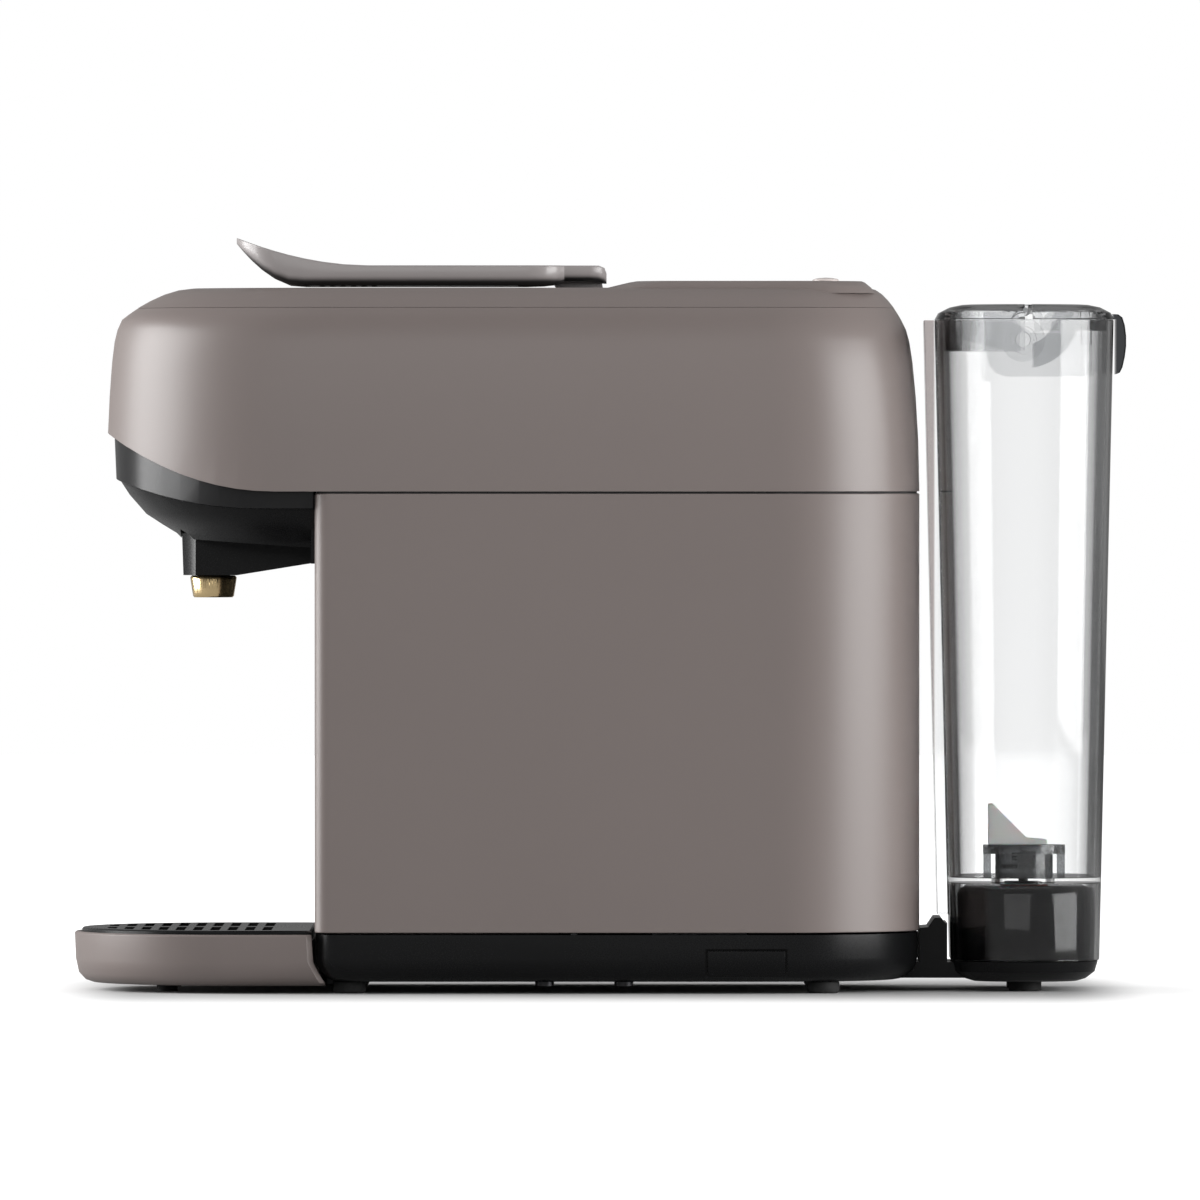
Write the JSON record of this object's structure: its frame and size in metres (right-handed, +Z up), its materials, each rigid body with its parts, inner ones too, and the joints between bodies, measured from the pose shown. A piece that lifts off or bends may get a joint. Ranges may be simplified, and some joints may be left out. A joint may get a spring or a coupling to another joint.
{
  "type": "pod coffee machine",
  "caption": "Slim pod coffee machine with a long top lever, spout over a drip tray and a clear water tank behind; geared brewing unit inside.",
  "frame": {"origin": "on the floor, in the middle of the machine's bounding footprint", "axes": "+Z up, -X towards the machine's front (spout and drip tray), mirrored about Y = 0"},
  "size_m": [0.4012, 0.156, 0.2867],
  "materials": {
    "taupe_plastic": "satin taupe moulding",
    "lever_plastic": "glossy taupe moulding",
    "dark_gloss": "polished dark plastic",
    "black_plastic": "fine-grained black moulding",
    "grey_band": "satin dark grey moulding",
    "brass_nozzle": "satin champagne brass",
    "clear_plastic": "clear moulding",
    "valve_plastic": "dark moulding",
    "collar_plastic": "smoky moulding",
    "filter_plastic": "translucent natural plastic",
    "button_plastic": "glossy off-white",
    "window_plastic": "frosted light bar",
    "foot_rubber": "soft black rubber",
    "steel": "turned steel",
    "black_steel": "blackened steel",
    "aluminium": "cast aluminium",
    "grey_plastic": "plain grey moulding",
    "gear_plastic": "natural acetal",
    "silicone": "silicone hose",
    "seal_rubber": "dark red silicone seal",
    "board": "green circuit board"
  },
  "bodies": {
    "housing": {"lower_housing": "taupe_plastic", "upper_housing": "taupe_plastic", "top_cover": "taupe_plastic", "base_pan": "black_plastic", "side_covers": "black_plastic", "feet": "foot_rubber", "base_screws": "black_steel", "cord_inlet": "black_plastic", "chin_band": "grey_band", "chin_bottom": "black_plastic", "spout_housing": "black_plastic", "spout_nozzle": "brass_nozzle", "coffee_duct": "black_plastic", "chassis": "grey_plastic", "brew_frame": "steel", "piercing_plate": "steel", "pod_funnel": "black_plastic", "thermoblock": "aluminium", "heater": "steel", "pump": "steel", "pump_mounts": "foot_rubber", "flow_meter": "gear_plastic", "suction_hose": "silicone", "pressure_hose": "silicone", "pipe_sleeve": "brass_nozzle", "control_board": "board", "button_board": "board", "indicator_window": "window_plastic", "tank_holder": "black_plastic", "tank_plinth": "dark_gloss", "tank_socket": "black_plastic", "socket_seal": "seal_rubber"},
    "lever": {"lever": "lever_plastic", "lever_liner": "dark_gloss", "lever_shaft": "steel", "lever_sectors": "gear_plastic"},
    "pinions": {"idler_pinions": "gear_plastic"},
    "carriage": {"brew_carriage": "gear_plastic", "water_pipe": "steel", "pod_cage": "steel", "cage_seal": "foot_rubber", "cage_needles": "steel"},
    "drawer": {"drip_tray": "taupe_plastic", "tray_foot": "foot_rubber", "pod_container": "black_plastic", "front_panel": "black_plastic"},
    "grid": {"drip_grid": "black_plastic"},
    "tank": {"tank_shell": "clear_plastic", "tank_lid": "clear_plastic", "flap_pin": "steel", "valve_collar": "collar_plastic", "tank_filter": "filter_plastic"},
    "flap": {"filler_flap": "clear_plastic"},
    "valve": {"tank_valve": "valve_plastic", "valve_spring": "steel"},
    "espresso_button": {"espresso_button": "button_plastic"},
    "lungo_button": {"lungo_button": "button_plastic"}
  },
  "joints": [
    {"name": "lever_hinge", "type": "hinge", "parent": "housing", "child": "lever", "pos_m": [-0.004, 0, 0.2582], "axis": [0, 1, 0], "range_deg": [0, 80]},
    {"name": "pinion_spin", "type": "hinge", "parent": "housing", "child": "pinions", "pos_m": [-0.004, 0, 0.2267], "axis": [0, 1, 0], "range_deg": [-202, 0]},
    {"name": "carriage_slide", "type": "slide", "parent": "housing", "child": "carriage", "axis": [1, 0, 0], "range_m": [0, 0.0318]},
    {"name": "drawer_slide", "type": "slide", "parent": "housing", "child": "drawer", "axis": [-1, 0, 0], "range_m": [0, 0.1]},
    {"name": "grid_lift", "type": "slide", "parent": "drawer", "child": "grid", "axis": [0, 0, 1], "range_m": [0, 0.05]},
    {"name": "tank_lift", "type": "slide", "parent": "housing", "child": "tank", "axis": [0, 0, 1], "range_m": [0, 0.06]},
    {"name": "flap_hinge", "type": "hinge", "parent": "tank", "child": "flap", "pos_m": [0.1615, 0, 0.259], "axis": [0, -1, 0], "range_deg": [0, 88]},
    {"name": "valve_drop", "type": "slide", "parent": "tank", "child": "valve", "axis": [0, 0, -1], "range_m": [0, 0.0029], "deforming": ["valve_spring"]},
    {"name": "espresso_press", "type": "slide", "parent": "housing", "child": "espresso_button", "axis": [0, 0, -1], "range_m": [0, 0.0012], "stiffness_N_per_m": 300},
    {"name": "lungo_press", "type": "slide", "parent": "housing", "child": "lungo_button", "axis": [0, 0, -1], "range_m": [0, 0.0012], "stiffness_N_per_m": 300}
  ],
  "couplings": [
    {"joint": "pinion_spin", "follows": "lever_hinge", "ratio": -2.5},
    {"joint": "carriage_slide", "follows": "lever_hinge", "m_per_rad": 0.0225},
    {"joint": "valve_drop", "follows": "tank_lift", "ratio": 0.048}
  ]
}
